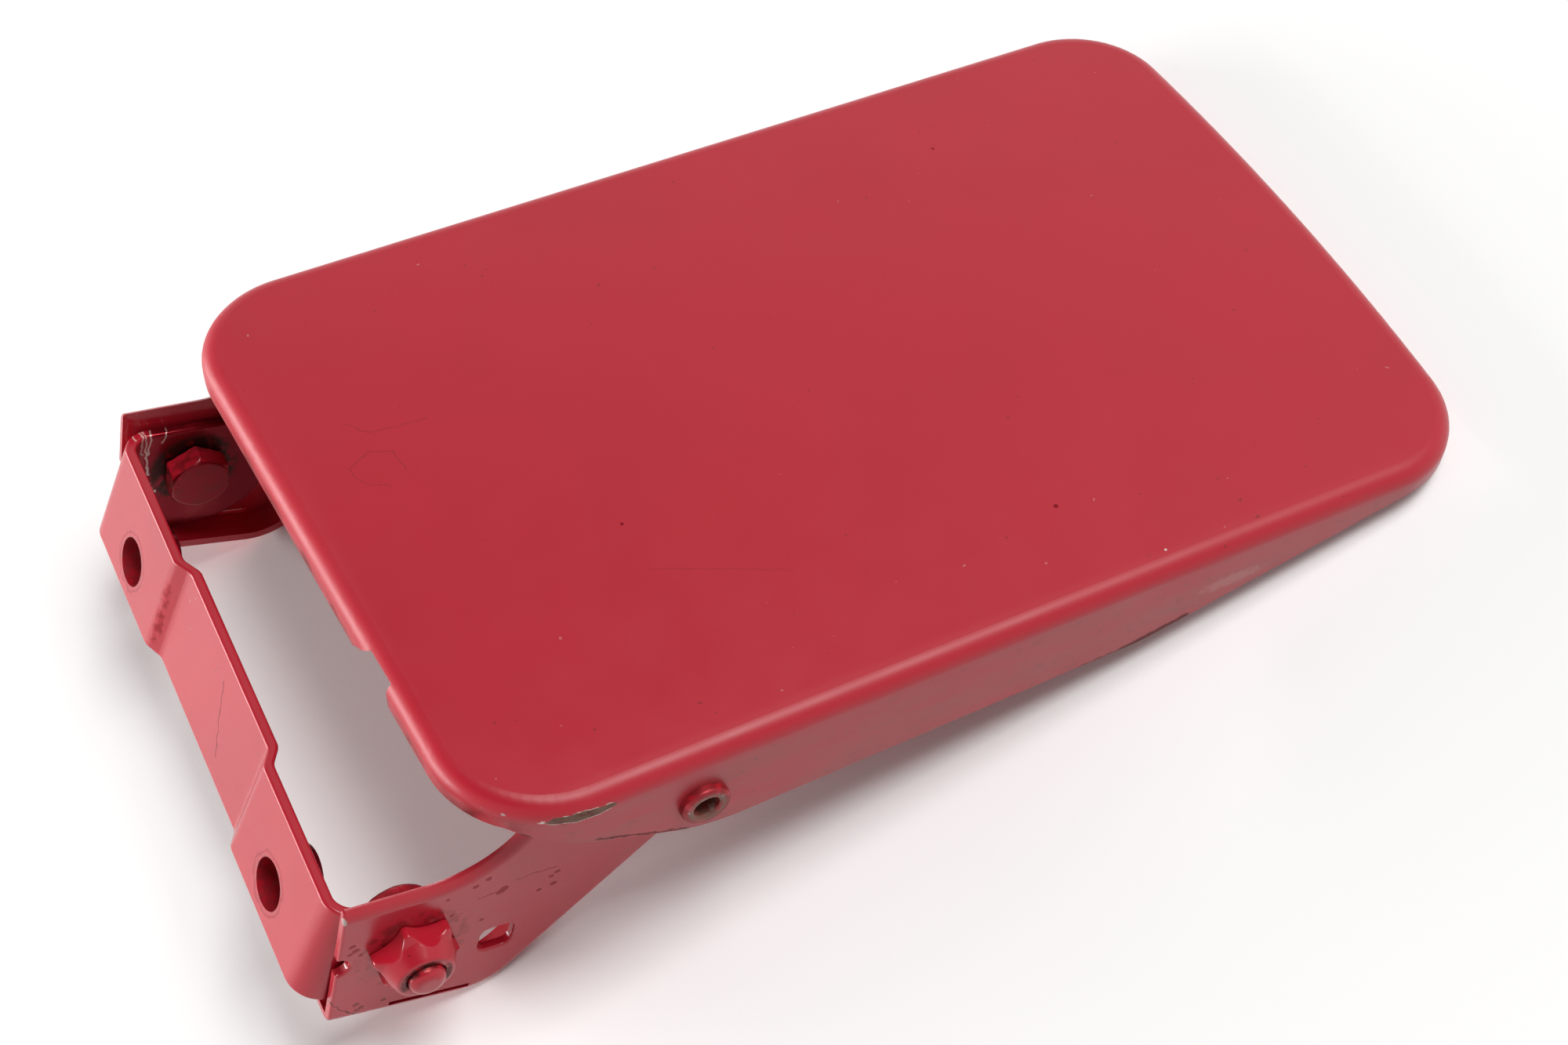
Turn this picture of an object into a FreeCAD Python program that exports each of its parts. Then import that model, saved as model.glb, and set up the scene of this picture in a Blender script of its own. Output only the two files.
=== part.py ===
import FreeCAD, Part
import math
import os
import Sketcher

V = FreeCAD.Vector

doc = FreeCAD.newDocument("fuel_filler_flap")
sheet = doc.addObject("Spreadsheet::Sheet", "Sheet")

# Driving dimensions in millimetres and degrees.
# Door pieces: X runs from the hinge edge to the free edge, Y along the hinge, Z out of the face.
# Bracket: X runs inward from the screw pads, Z up the web, with the screw holes on Z = 0.
DIMENSIONS = (
    ("panel_length", 180.0),
    ("panel_width", 118.0),
    ("hinge_skew", 3.5),
    ("free_bow", 2.4),
    ("corner_radius", 17.1),
    ("near_corner_radius", 18.9),
    ("crown_drop", 1.0),
    ("edge_radius", 3.0),
    ("skin", 1.0),
    ("lip_depth", 6.2),
    ("flange_depth", 20.0),
    ("flange_start", 9.0),
    ("flange_full", 39.0),
    ("flange_knee", 116.0),
    ("flange_knee_depth", 17.8),
    ("flange_end", 166.0),
    ("flange_blend", 26.0),
    ("notch_place", 27.8),
    ("notch_width", 6.8),
    ("notch_round", 6.0),
    ("arm_inset", 5.7),
    ("arm_sheet", 1.5),
    ("arm_flange", 6.5),
    ("arm_bend", 2.2),
    ("pivot_back", 6.5),
    ("pivot_drop", 30.6),
    ("arm_tip_back", 15.4),
    ("arm_tip_drop", 15.0),
    ("arm_heel_back", 21.3),
    ("arm_heel_drop", 43.5),
    ("elbow_out", 4.4),
    ("elbow_drop", 52.3),
    ("elbow_radius", 10.0),
    ("throat_out", 0.2),
    ("throat_drop", 1.7),
    ("throat_radius", 16.0),
    ("arm_reach", 58.0),
    ("arm_toe", 8.6),
    ("nick_share", 0.47),
    ("nick_radius", 2.0),
    ("slit_start", 9.5),
    ("slit_length", 13.5),
    ("slit_rise", 1.9),
    ("slit_width", 0.9),
    ("window_out", 6.5),
    ("window_drop", 37.8),
    ("window_side", 5.6),
    ("window_turn", -12.0),
    ("window_round", 1.6),
    ("rivet_place", 0.662),
    ("rivet_share", 0.5),
    ("rivet_shank", 6.6),
    ("rivet_bore", 4.2),
    ("rivet_head", 8.0),
    ("rivet_head_height", 1.5),
    ("rivet_collar", 10.0),
    ("rivet_tail", 8.4),
    ("rivet_tail_height", 1.4),
    ("rivet_edge", 0.6),
    ("bolt_dia", 6.0),
    ("bolt_tip_round", 1.6),
    ("bolt_stand", 1.6),
    ("head_flats", 10.0),
    ("head_height", 4.0),
    ("head_chamfer", 0.9),
    ("head_turn", 20.0),
    ("nut_height", 5.6),
    ("nut_corners", 17.2),
    ("nut_waist", 10.8),
    ("nut_skirt", 0.7),
    ("nut_crown", 9.0),
    ("nut_turn", 38.0),
    ("nut_corner_round", 0.8),
    ("thread_gap", 0.05),
    ("pivot_gap", 0.05),
    ("head_gap", 0.3),
    ("side_gap", 0.5),
    ("bracket_sheet", 1.8),
    ("bend_radius", 4.8),
    ("web_height", 19.8),
    ("hole_rise", 6.5),
    ("hole_spacing", 68.0),
    ("hole_dia", 8.4),
    ("collar_wall", 1.3),
    ("collar_reach", 4.8),
    ("joggle", 1.8),
    ("joggle_half", 18.5),
    ("joggle_run", 3.0),
    ("joggle_bend", 2.5),
    ("pivot_in", 14.4),
    ("pivot_up", 6.2),
    ("ear_radius", 14.3),
    ("ear_slope", 11.0),
    ("edge_round", 0.5),
    ("bracket_tilt", 37.7),
    ("door_slope", 14.2),
)

# Sizes that follow from the driving dimensions.
DERIVED = (
    ("crown_radius", "(panel_width / 2) ^ 2 / (2 * crown_drop) + crown_drop / 2"),
    ("inner_radius", "crown_radius - skin"),
    ("crown_centre", "-crown_radius"),
    ("crown_half", "panel_width * 0.75"),
    ("free_radius", "(panel_width / 2) ^ 2 / (2 * free_bow) + free_bow / 2"),
    ("arm_face", "panel_width / 2 - arm_inset"),
    ("arm_back", "arm_face - arm_sheet"),
    ("flange_face", "panel_width / 2"),
    ("ear_face", "arm_back - side_gap"),
    ("ear_back", "ear_face - bracket_sheet"),
    ("bend_inside", "bend_radius - bracket_sheet"),
    ("head_seat", "ear_back - head_gap"),
    ("bolt_tip", "arm_face + nut_height + bolt_stand"),
    ("bolt_length", "bolt_tip - head_seat"),
    ("bolt_radius", "bolt_dia / 2"),
    ("pivot_radius", "bolt_dia / 2 + pivot_gap"),
    ("nut_radius", "bolt_dia / 2 + thread_gap"),
    ("rivet_radius", "rivet_shank / 2"),
    ("hole_radius", "hole_dia / 2"),
    ("collar_radius", "hole_radius + collar_wall"),
    ("pivot_x", "-pivot_back"),
    ("pivot_z", "-pivot_drop"),
    ("throat_z", "-throat_drop"),
    ("nick_x", "-arm_tip_back - nick_share * (arm_heel_back - arm_tip_back)"),
    ("nick_z", "-arm_tip_drop - nick_share * (arm_heel_drop - arm_tip_drop)"),
    ("pivot_row_x", "pivot_in * cos(bracket_tilt) + pivot_up * sin(bracket_tilt)"),
    ("pivot_row_z", "pivot_up * cos(bracket_tilt) - pivot_in * sin(bracket_tilt)"),
    ("door_x", "pivot_row_x - pivot_x * cos(door_slope) - pivot_z * sin(door_slope)"),
    ("door_z", "pivot_row_z - pivot_z * cos(door_slope) + pivot_x * sin(door_slope)"),
    ("hole_near", "-hole_spacing / 2"),
    ("hole_far", "hole_spacing / 2"),
    ("hole_line", "0.0"),
    ("web_top", "web_height - hole_rise"),
    ("ear_lift", "web_top - pivot_up + (pivot_in - bracket_sheet) * tan(ear_slope)"),
    ("ear_run", "ear_radius * cos(asin(ear_lift * cos(ear_slope) / ear_radius))"),
    ("ear_end", "ear_run * cos(ear_slope) - ear_lift * sin(ear_slope) * cos(ear_slope)"),
    ("elbow_inside", "elbow_radius - arm_sheet"),
    ("heel_angle", "-atan((elbow_drop - arm_heel_drop) / (elbow_out + arm_heel_back))"),
    ("shin_angle", "atan((elbow_drop - arm_toe) / (arm_reach - elbow_out))"),
    ("rivet_out", "rivet_place * arm_reach"),
    ("rivet_z", "-rivet_share * (arm_toe + (arm_reach - rivet_out) * tan(shin_angle))"),
    ("elbow_share", "arm_sheet / (1 + cos(shin_angle - heel_angle))"),
    ("seam_under", "-skin - crown_drop - arm_sheet"),
    ("shin_under", "-arm_toe + arm_sheet / cos(shin_angle)"),
    ("flank_sag", "nut_corners / 2 * cos(30) - nut_waist / 2"),
    ("flank_radius", "(nut_corners / 4) ^ 2 / (2 * flank_sag) + flank_sag / 2"),
)

next_row = 1


def cell(alias, text):
    global next_row
    sheet.set("A%d" % next_row, alias)
    sheet.set("B%d" % next_row, text)
    sheet.setAlias("B%d" % next_row, alias)
    next_row += 1


for alias, value in DIMENSIONS:
    cell(alias, str(value))
for alias, formula in DERIVED:
    cell(alias, "=" + formula)
doc.recompute()


def num(alias):
    return float(getattr(sheet, alias))


def path(name, formulas):
    # Cells for the corners of an outline, given as pairs of formulas.
    pairs = []
    for i, (first, second) in enumerate(formulas):
        pair = ("%s_a%s" % (name, chr(97 + i)), "%s_b%s" % (name, chr(97 + i)))
        cell(pair[0], "=" + first)
        cell(pair[1], "=" + second)
        pairs.append(pair)
    return pairs


def ring_of_six(name, radius, turn):
    # Six corners of a hexagon about the pivot.
    return path(name, [
        ("pivot_x + %s * cos(%s + %d)" % (radius, turn, step * 60),
         "pivot_z + %s * sin(%s + %d)" % (radius, turn, step * 60))
        for step in range(6)
    ])


# Corners of the outlines.
corners = path("panel", (
    ("hinge_skew", "-panel_width / 2"),
    ("panel_length", "-panel_width / 2"),
    ("panel_length", "panel_width / 2"),
    ("-hinge_skew", "panel_width / 2"),
))
lower = path("lower", (
    ("-panel_width", "-lip_depth"),
    ("flange_start", "-lip_depth"),
    ("flange_full", "-flange_depth"),
    ("flange_knee", "-flange_knee_depth"),
    ("flange_end", "-lip_depth"),
    ("panel_length + panel_width", "-lip_depth"),
    ("panel_length + panel_width", "-flange_depth - 10"),
    ("-panel_width", "-flange_depth - 10"),
))
notch = path("notch", (
    ("-notch_place", "-skin"),
    ("-notch_place + notch_width", "-skin"),
    ("-notch_place + notch_width + notch_round", "-lip_depth"),
    ("-notch_place + notch_width + notch_round", "-lip_depth - 4"),
    ("-notch_place", "-lip_depth - 4"),
))
neck = path("neck", (
    ("-arm_tip_back", "-arm_tip_drop"),
    ("-arm_heel_back", "-arm_heel_drop"),
    ("elbow_out", "-elbow_drop"),
    ("arm_reach", "-arm_toe"),
    ("arm_reach", "-skin / 2"),
))
hollow = path("hollow", (
    ("-arm_heel_back - arm_sheet * sin(heel_angle) - arm_reach * cos(heel_angle)",
     "-arm_heel_drop + arm_sheet * cos(heel_angle) - arm_reach * sin(heel_angle)"),
    ("elbow_out - elbow_share * (sin(heel_angle) + sin(shin_angle))",
     "-elbow_drop + elbow_share * (cos(heel_angle) + cos(shin_angle))"),
    ("arm_reach + (seam_under - shin_under) / tan(shin_angle)", "seam_under"),
    ("throat_out + throat_radius - 1", "seam_under"),
    ("throat_out + throat_radius - 1", "arm_reach"),
    ("-arm_heel_back - arm_sheet * sin(heel_angle) - arm_reach * cos(heel_angle)", "arm_reach"),
))
window = path("window", [
    ("window_out + window_side / sqrt(2) * cos(window_turn + %d)" % turn,
     "-window_drop + window_side / sqrt(2) * sin(window_turn + %d)" % turn)
    for turn in (45, 135, 225, 315)
])
slit = path("slit", [
    ("-arm_heel_back + (%s) * cos(heel_angle) - (%s) * sin(heel_angle)" % spot,
     "-arm_heel_drop + (%s) * sin(heel_angle) + (%s) * cos(heel_angle)" % spot)
    for spot in (("slit_start", "slit_rise"), ("slit_start + slit_length", "slit_rise"),
                 ("slit_start + slit_length", "slit_rise + slit_width"), ("slit_start", "slit_rise + slit_width"))
])
barrel = path("barrel", (
    ("rivet_out + rivet_bore / 2", "-flange_face - rivet_head_height"),
    ("rivet_out + rivet_head / 2", "-flange_face - rivet_head_height"),
    ("rivet_out + rivet_head / 2", "-flange_face"),
    ("rivet_out + rivet_shank / 2", "-flange_face"),
    ("rivet_out + rivet_shank / 2", "-flange_face + skin"),
    ("rivet_out + rivet_collar / 2", "-flange_face + skin"),
    ("rivet_out + rivet_collar / 2", "-arm_face"),
    ("rivet_out + rivet_shank / 2", "-arm_face"),
    ("rivet_out + rivet_shank / 2", "-arm_back"),
    ("rivet_out + rivet_tail / 2", "-arm_back"),
    ("rivet_out + rivet_tail / 2", "-arm_back + rivet_tail_height"),
    ("rivet_out + rivet_bore / 2", "-arm_back + rivet_tail_height"),
))
hexagon = ring_of_six("head", "head_flats / 2 / cos(30)", "head_turn")
chamfer = path("chamfer", (
    ("pivot_x + head_flats / 2", "-head_seat + head_height"),
    ("pivot_x + head_flats", "-head_seat + head_height"),
    ("pivot_x + head_flats", "-head_seat + head_height - head_chamfer * 5"),
    ("pivot_x + head_flats / 2 / cos(30)", "-head_seat + head_height - head_chamfer"),
))
star = ring_of_six("star", "nut_corners / 2", "nut_turn")
flare = path("flare", (
    ("pivot_x + nut_corners", "-arm_face - nut_skirt"),
    ("pivot_x + nut_corners / 2", "-arm_face - nut_skirt"),
    ("pivot_x + nut_waist / 2 + 0.5", "-arm_face - nut_height * 0.5"),
    ("pivot_x + nut_crown / 2", "-arm_face - nut_height"),
    ("pivot_x + nut_crown / 2 - 1.0", "-arm_face - nut_height - 0.5"),
    ("pivot_x + nut_corners", "-arm_face - nut_height - 0.5"),
))
strip = path("strip", (
    ("pivot_in + ear_radius + 5", "-ear_face"),
    ("-0.001", "-ear_face"),
    ("-0.001", "-joggle_half - joggle_run"),
    ("joggle", "-joggle_half"),
    ("joggle", "joggle_half"),
    ("-0.001", "joggle_half + joggle_run"),
    ("-0.001", "ear_face"),
    ("pivot_in + ear_radius + 5", "ear_face"),
    ("pivot_in + ear_radius + 5", "ear_back"),
    ("bracket_sheet", "ear_back"),
    ("bracket_sheet", "joggle_half + joggle_run"),
    ("joggle + bracket_sheet", "joggle_half"),
    ("joggle + bracket_sheet", "-joggle_half"),
    ("bracket_sheet", "-joggle_half - joggle_run"),
    ("bracket_sheet", "-ear_back"),
    ("pivot_in + ear_radius + 5", "-ear_back"),
))
ear = path("ear", (
    ("-bend_radius", "web_top - (bracket_sheet + bend_radius) * tan(ear_slope)"),
    ("pivot_in + ear_end", "pivot_up + ear_lift + ear_end * tan(ear_slope)"),
    ("pivot_in", "pivot_up - ear_radius"),
    ("-bend_radius", "-hole_rise"),
    ("pivot_in", "pivot_up"),
))
frame = path("frame", (
    ("-ear_radius * 4", "-ear_radius * 4"),
    ("ear_radius * 8", "-ear_radius * 4"),
    ("ear_radius * 8", "ear_radius * 4"),
    ("-ear_radius * 4", "ear_radius * 4"),
))
doc.recompute()


def new_body(name):
    return doc.addObject("PartDesign::Body", name)


def place(body, angle, base_x, base_z):
    # Turn a body about Y and move it to its place at the hinge.
    body.Placement = FreeCAD.Placement(V(0, 0, 0), FreeCAD.Rotation(V(0, 1, 0), num(angle)))
    body.setExpression("Placement.Rotation.Angle", "Sheet." + angle)
    if base_x:
        body.setExpression("Placement.Base.x", "Sheet." + base_x)
        body.setExpression("Placement.Base.z", "Sheet." + base_z)


def new_sketch(body, name, role, offset=None):
    sketch = body.newObject("Sketcher::SketchObject", name)
    support = [part for part in body.Origin.OriginFeatures if part.Role == role][0]
    sketch.AttachmentSupport = [(support, "")]
    sketch.MapMode = "FlatFace"
    if offset:
        sketch.setExpression("AttachmentOffset.Base.z", offset)
    return sketch


def pin(sketch, geo, pos, pair):
    for kind, alias in zip(("DistanceX", "DistanceY"), pair):
        index = sketch.addConstraint(Sketcher.Constraint(kind, -1, 1, geo, pos, num(alias)))
        sketch.setExpression("Constraints[%d]" % index, "Sheet." + alias)


def bind_radius(sketch, geo, alias):
    index = sketch.addConstraint(Sketcher.Constraint("Radius", geo, num(alias)))
    sketch.setExpression("Constraints[%d]" % index, "Sheet." + alias)


def join(sketch, first, last):
    # Close a ring of segments, end to start.
    count = last - first
    for i in range(count):
        following = first + (i + 1) % count
        sketch.addConstraint(Sketcher.Constraint("Coincident", first + i, 2, following, 1))


def polygon(sketch, pairs):
    first = sketch.GeometryCount
    points = [V(num(a), num(b), 0) for a, b in pairs]
    count = len(points)
    for i in range(count):
        sketch.addGeometry(Part.LineSegment(points[i], points[(i + 1) % count]), False)
    join(sketch, first, first + count)
    for i, pair in enumerate(pairs):
        pin(sketch, first + i, 1, pair)


def arc(centre, radius, start, end):
    # An arc run anticlockwise from start to end.
    spokes = [start - centre, end - centre]
    angles = [math.atan2(spoke.y, spoke.x) for spoke in spokes]
    if angles[1] < angles[0]:
        angles[1] += 2 * math.pi
    return Part.ArcOfCircle(Part.Circle(centre, V(0, 0, 1), radius), angles[0], angles[1])


def circle(sketch, pair, radius):
    centre = V(num(pair[0]), num(pair[1]), 0)
    geo = sketch.addGeometry(Part.Circle(centre, V(0, 0, 1), num(radius)), False)
    pin(sketch, geo, 3, pair)
    bind_radius(sketch, geo, radius)


def pad(body, sketch, name, length, reverse=False, both=False):
    feature = body.newObject("PartDesign::Pad", name)
    feature.Profile = sketch
    feature.SideType = "Symmetric" if both else "One side"
    feature.Reversed = reverse
    feature.setExpression("Length", length)
    doc.recompute()
    return feature


def cut(body, sketch, name, length=None, reverse=False):
    # A pocket right through both ways, or to a depth on one side.
    feature = body.newObject("PartDesign::Pocket", name)
    feature.Profile = sketch
    if length:
        feature.setExpression("Length", length)
        feature.Reversed = reverse
    else:
        feature.Type = "ThroughAll"
        feature.SideType = "Symmetric"
    doc.recompute()
    return feature


def edges(feature, test):
    return ["Edge%d" % (i + 1) for i, edge in enumerate(feature.Shape.Edges) if test(edge)]


def faces(feature, test):
    return ["Face%d" % (i + 1) for i, face in enumerate(feature.Shape.Faces) if test(face)]


def fillet(body, base, name, names, radius):
    feature = body.newObject("PartDesign::Fillet", name)
    feature.Base = (base, names)
    feature.setExpression("Radius", "Sheet." + radius)
    doc.recompute()
    return feature


def sheet_edges(feature, sheet):
    # Long edges of the cut outline of a sheet that stands in the XZ plane, and not of its round holes.
    chosen = []
    shape = feature.Shape
    for face in shape.Faces:
        normal = face.normalAt(*face.Surface.parameter(face.CenterOfMass))
        closed = [edge for edge in face.Edges if edge.isClosed()]
        if abs(normal.y) < 0.02 and abs(normal.z) > 0.1 and not closed:
            chosen.extend(edge for edge in face.Edges if edge.Length > num(sheet) * 1.5)
    return edges(feature, lambda e: any(e.isSame(edge) for edge in chosen))


def shell(body, base, name, names, wall):
    feature = body.newObject("PartDesign::Thickness", name)
    feature.Base = (base, names)
    feature.Reversed = True
    feature.Join = "Intersection"
    feature.setExpression("Value", "Sheet." + wall)
    doc.recompute()
    return feature


def upright(edge, axis, spot=None, reach=0.5):
    # Straight edges along one axis, near a spot given by its other two coordinates.
    if edge.Curve.TypeId != "Part::GeomLine":
        return False
    along = edge.Curve.Direction
    if abs((along.x, along.y, along.z)[axis]) < 0.999:
        return False
    if spot is None:
        return True
    middle = edge.CenterOfMass
    flat = [value for i, value in enumerate((middle.x, middle.y, middle.z)) if i != axis]
    return abs(flat[0] - spot[0]) < reach and abs(flat[1] - spot[1]) < reach


def above_crown(sketch, radius):
    # The region above an arc of the crown, centred under the middle of the panel.
    half = num("crown_half")
    bend = num(radius)
    drop = num("crown_centre")
    rise = drop + (bend * bend - half * half) ** 0.5
    top = num("panel_width")
    left, right = V(-half, rise, 0), V(half, rise, 0)
    sketch.addGeometry(Part.Arc(right, V(0, drop + bend, 0), left), False)
    sketch.addGeometry(Part.LineSegment(left, V(-half, top, 0)), False)
    sketch.addGeometry(Part.LineSegment(V(-half, top, 0), V(half, top, 0)), False)
    sketch.addGeometry(Part.LineSegment(V(half, top, 0), right), False)
    join(sketch, 0, 4)
    sketch.addConstraint(Sketcher.Constraint("PointOnObject", 0, 3, -2))
    centre = sketch.addConstraint(Sketcher.Constraint("DistanceY", -1, 1, 0, 3, drop))
    sketch.setExpression("Constraints[%d]" % centre, "Sheet.crown_centre")
    bind_radius(sketch, 0, radius)
    sketch.addConstraint(Sketcher.Constraint("Vertical", 1))
    sketch.addConstraint(Sketcher.Constraint("Vertical", 3))
    sketch.addConstraint(Sketcher.Constraint("Horizontal", 2))
    for geo, sign in ((2, 1), (2, 2)):
        value = -half if sign == 1 else half
        index = sketch.addConstraint(Sketcher.Constraint("DistanceX", -1, 1, geo, sign, value))
        sketch.setExpression("Constraints[%d]" % index, "Sheet.crown_half * %d" % (-1 if sign == 1 else 1))
    index = sketch.addConstraint(Sketcher.Constraint("DistanceY", -1, 1, 2, 1, top))
    sketch.setExpression("Constraints[%d]" % index, "Sheet.panel_width")


# Outer panel: crowned skin with a rounded rim, side flanges and a notched lip.
panel = new_body("outer_panel")
place(panel, "door_slope", "door_x", "door_z")
outline = new_sketch(panel, "panel_outline", "XY_Plane", "-Sheet.flange_depth - 2")
points = [V(num(a), num(b), 0) for a, b in corners]
bow = V(points[1].x + num("free_bow"), 0, 0)
outline.addGeometry(Part.LineSegment(points[0], points[1]), False)
outline.addGeometry(Part.Arc(points[1], bow, points[2]), False)
outline.addGeometry(Part.LineSegment(points[2], points[3]), False)
outline.addGeometry(Part.LineSegment(points[3], points[0]), False)
join(outline, 0, 4)
for i, pair in enumerate(corners):
    pin(outline, i, 1, pair)
bind_radius(outline, 1, "free_radius")
block = pad(panel, outline, "panel_block", "Sheet.flange_depth + 8")
hinge_near = (num("hinge_skew"), -num("flange_face"))
near_edge = edges(block, lambda e: upright(e, 2, hinge_near))
rounded = fillet(panel, block, "near_corner", near_edge, "near_corner_radius")
others = [(num("panel_length"), -num("flange_face")), (num("panel_length"), num("flange_face"))]
others.append((-num("hinge_skew"), num("flange_face")))
other_edges = edges(rounded, lambda e: any(upright(e, 2, spot) for spot in others))
rounded = fillet(panel, rounded, "other_corners", other_edges, "corner_radius")
crown = new_sketch(panel, "crown", "YZ_Plane")
above_crown(crown, "crown_radius")
crowned = cut(panel, crown, "crown_cut")
rim = edges(crowned, lambda e: e.BoundBox.ZMin > -4)
rimmed = fillet(panel, crowned, "rim", rim, "edge_radius")
under = faces(rimmed, lambda f: f.CenterOfMass.z < -num("flange_depth") - 1.9 and f.Area > 1000)
skin = shell(panel, rimmed, "skin_shell", under, "skin")
flange = new_sketch(panel, "flange_line", "XZ_Plane")
polygon(flange, lower)
flanged = cut(panel, flange, "flange_cut")
knees = [(num(lower[i][0]), num(lower[i][1])) for i in (2, 3)]
soft = edges(flanged, lambda e: any(upright(e, 1, spot) for spot in knees) and e.Length < 5)
blended = fillet(panel, flanged, "flange_knees", soft, "flange_blend")
slot = new_sketch(panel, "lip_notch", "YZ_Plane", "Sheet.edge_radius + Sheet.hinge_skew")
polygon(slot, notch)
notched = cut(panel, slot, "notch_cut", "Sheet.panel_width")
holes = new_sketch(panel, "rivet_holes", "XZ_Plane")
circle(holes, ("rivet_out", "rivet_z"), "rivet_radius")
cut(panel, holes, "rivet_hole_cut")

# Hinge arm: pressed gooseneck with a folded lower flange and a seam flange under the skin.
arm = new_body("hinge_arm_near")
place(arm, "door_slope", "door_x", "door_z")
profile = new_sketch(arm, "arm_profile", "XZ_Plane", "Sheet.arm_face")
points = [V(num(a), num(b), 0) for a, b in neck]
centre = V(num("throat_out"), num("throat_z"), 0)
radius = num("throat_radius")
for i in range(4):
    profile.addGeometry(Part.LineSegment(points[i], points[i + 1]), False)
throat_end = V(centre.x + radius * 0.99, points[4].y, 0)
throat_start = V(centre.x - radius * 0.2, centre.y - radius * 0.98, 0)
profile.addGeometry(Part.LineSegment(points[4], throat_end), False)
profile.addGeometry(arc(centre, radius, throat_start, throat_end), False)
profile.addGeometry(Part.LineSegment(throat_start, points[0]), False)
for i in range(4):
    profile.addConstraint(Sketcher.Constraint("Coincident", i, 2, i + 1, 1))
profile.addConstraint(Sketcher.Constraint("Coincident", 4, 2, 5, 2))
profile.addConstraint(Sketcher.Constraint("Coincident", 6, 2, 0, 1))
for i, pair in enumerate(neck):
    pin(profile, i, 1, pair)
profile.addConstraint(Sketcher.Constraint("Horizontal", 4))
pin(profile, 5, 3, ("throat_out", "throat_z"))
bind_radius(profile, 5, "throat_radius")
profile.addConstraint(Sketcher.Constraint("Tangent", 5, 1, 6, 1))
arm_block = pad(arm, profile, "arm_block", "Sheet.arm_flange", reverse=True)
elbow = (num("elbow_out"), -num("elbow_drop"))
elbow_edge = edges(arm_block, lambda e: upright(e, 1, elbow))
elbowed = fillet(arm, arm_block, "elbow", elbow_edge, "elbow_radius")


def under_edge(edge):
    # The outer lower edge of the arm, from the heel round the elbow to the toe.
    box = edge.BoundBox
    if abs(box.YMin + num("arm_face")) > 0.01 or abs(box.YMax + num("arm_face")) > 0.01:
        return False
    middle = edge.valueAt((edge.FirstParameter + edge.LastParameter) / 2)
    low = -num("arm_heel_drop") - 0.1
    on_heel = middle.z < low and middle.x < num("elbow_out") + num("elbow_radius")
    on_shin = middle.x > num("elbow_out") + 5 and middle.z < -num("arm_toe") - 2
    return (on_heel or on_shin) and box.XMax - box.XMin > 2


bent = fillet(arm, elbowed, "arm_bend_fillet", edges(elbowed, under_edge), "arm_bend")


hollow_line = new_sketch(arm, "arm_hollow", "XZ_Plane", "Sheet.arm_back")
polygon(hollow_line, hollow)
pressed = cut(arm, hollow_line, "arm_hollow_cut", "Sheet.arm_flange * 2")
crease = (num(hollow[1][0]), num(hollow[1][1]))
crease_edge = edges(pressed, lambda e: upright(e, 1, crease))
fillet(arm, pressed, "elbow_inside_fillet", crease_edge, "elbow_inside")
seam = new_sketch(arm, "arm_seam", "YZ_Plane")
above_crown(seam, "inner_radius")
cut(arm, seam, "arm_seam_cut")
opening = new_sketch(arm, "arm_openings", "XZ_Plane")
polygon(opening, window)
circle(opening, ("rivet_out", "rivet_z"), "rivet_radius")
circle(opening, ("pivot_x", "pivot_z"), "bolt_radius")
circle(opening, ("nick_x", "nick_z"), "nick_radius")
opened = cut(arm, opening, "arm_opening_cut")
spots = [(num(a), num(b)) for a, b in window]
cornered = fillet(arm, opened, "window_corners",
                  edges(opened, lambda e: any(upright(e, 1, s) for s in spots)), "window_round")
fold = new_sketch(arm, "fold_slit", "XZ_Plane", "Sheet.arm_face")
polygon(fold, slit)
slitted = cut(arm, fold, "fold_slit_cut", "Sheet.arm_sheet")


def pressed_edge(edge):
    # Edges of the outer face along the back of the arm and round its window.
    box = edge.BoundBox
    if abs(box.YMin + num("arm_face")) > 0.01 or abs(box.YMax + num("arm_face")) > 0.01:
        return False
    middle = edge.valueAt((edge.FirstParameter + edge.LastParameter) / 2)
    at_window = abs(middle.x - num("window_out")) + abs(middle.z + num("window_drop")) < num("window_side")
    return middle.x < -num("arm_tip_back") or at_window


fillet(arm, slitted, "arm_edges", edges(slitted, pressed_edge), "edge_round")

# Hollow rivet: head on the flange, collar between flange and arm, rolled tail behind the arm.
rivet = new_body("hollow_rivet_near")
place(rivet, "door_slope", "door_x", "door_z")
half = new_sketch(rivet, "rivet_half", "XY_Plane", "Sheet.rivet_z")
polygon(half, barrel)
axis = half.addGeometry(Part.LineSegment(V(num("rivet_out"), -80, 0), V(num("rivet_out"), 10, 0)), True)
half.addConstraint(Sketcher.Constraint("Vertical", axis))
index = half.addConstraint(Sketcher.Constraint("DistanceX", -1, 1, axis, 1, num("rivet_out")))
half.setExpression("Constraints[%d]" % index, "Sheet.rivet_out")
turned = rivet.newObject("PartDesign::Revolution", "rivet_turned")
turned.Profile = half
turned.ReferenceAxis = (half, ["Axis0"])
turned.Angle = 360
doc.recompute()
ends = edges(turned, lambda e: e.Curve.TypeId == "Part::GeomCircle"
             and e.CenterOfMass.y < -num("flange_face") - num("rivet_head_height") + 0.1)
fillet(rivet, turned, "rivet_edges", ends, "rivet_edge")


# Pivot bolt: hexagon head behind the ear, shank through ear, arm and nut, rounded tip.
bolt = new_body("pivot_bolt_near")
place(bolt, "door_slope", "door_x", "door_z")
head_line = new_sketch(bolt, "head_line", "XZ_Plane", "Sheet.head_seat")
polygon(head_line, hexagon)
head = pad(bolt, head_line, "head", "Sheet.head_height", reverse=True)


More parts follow.
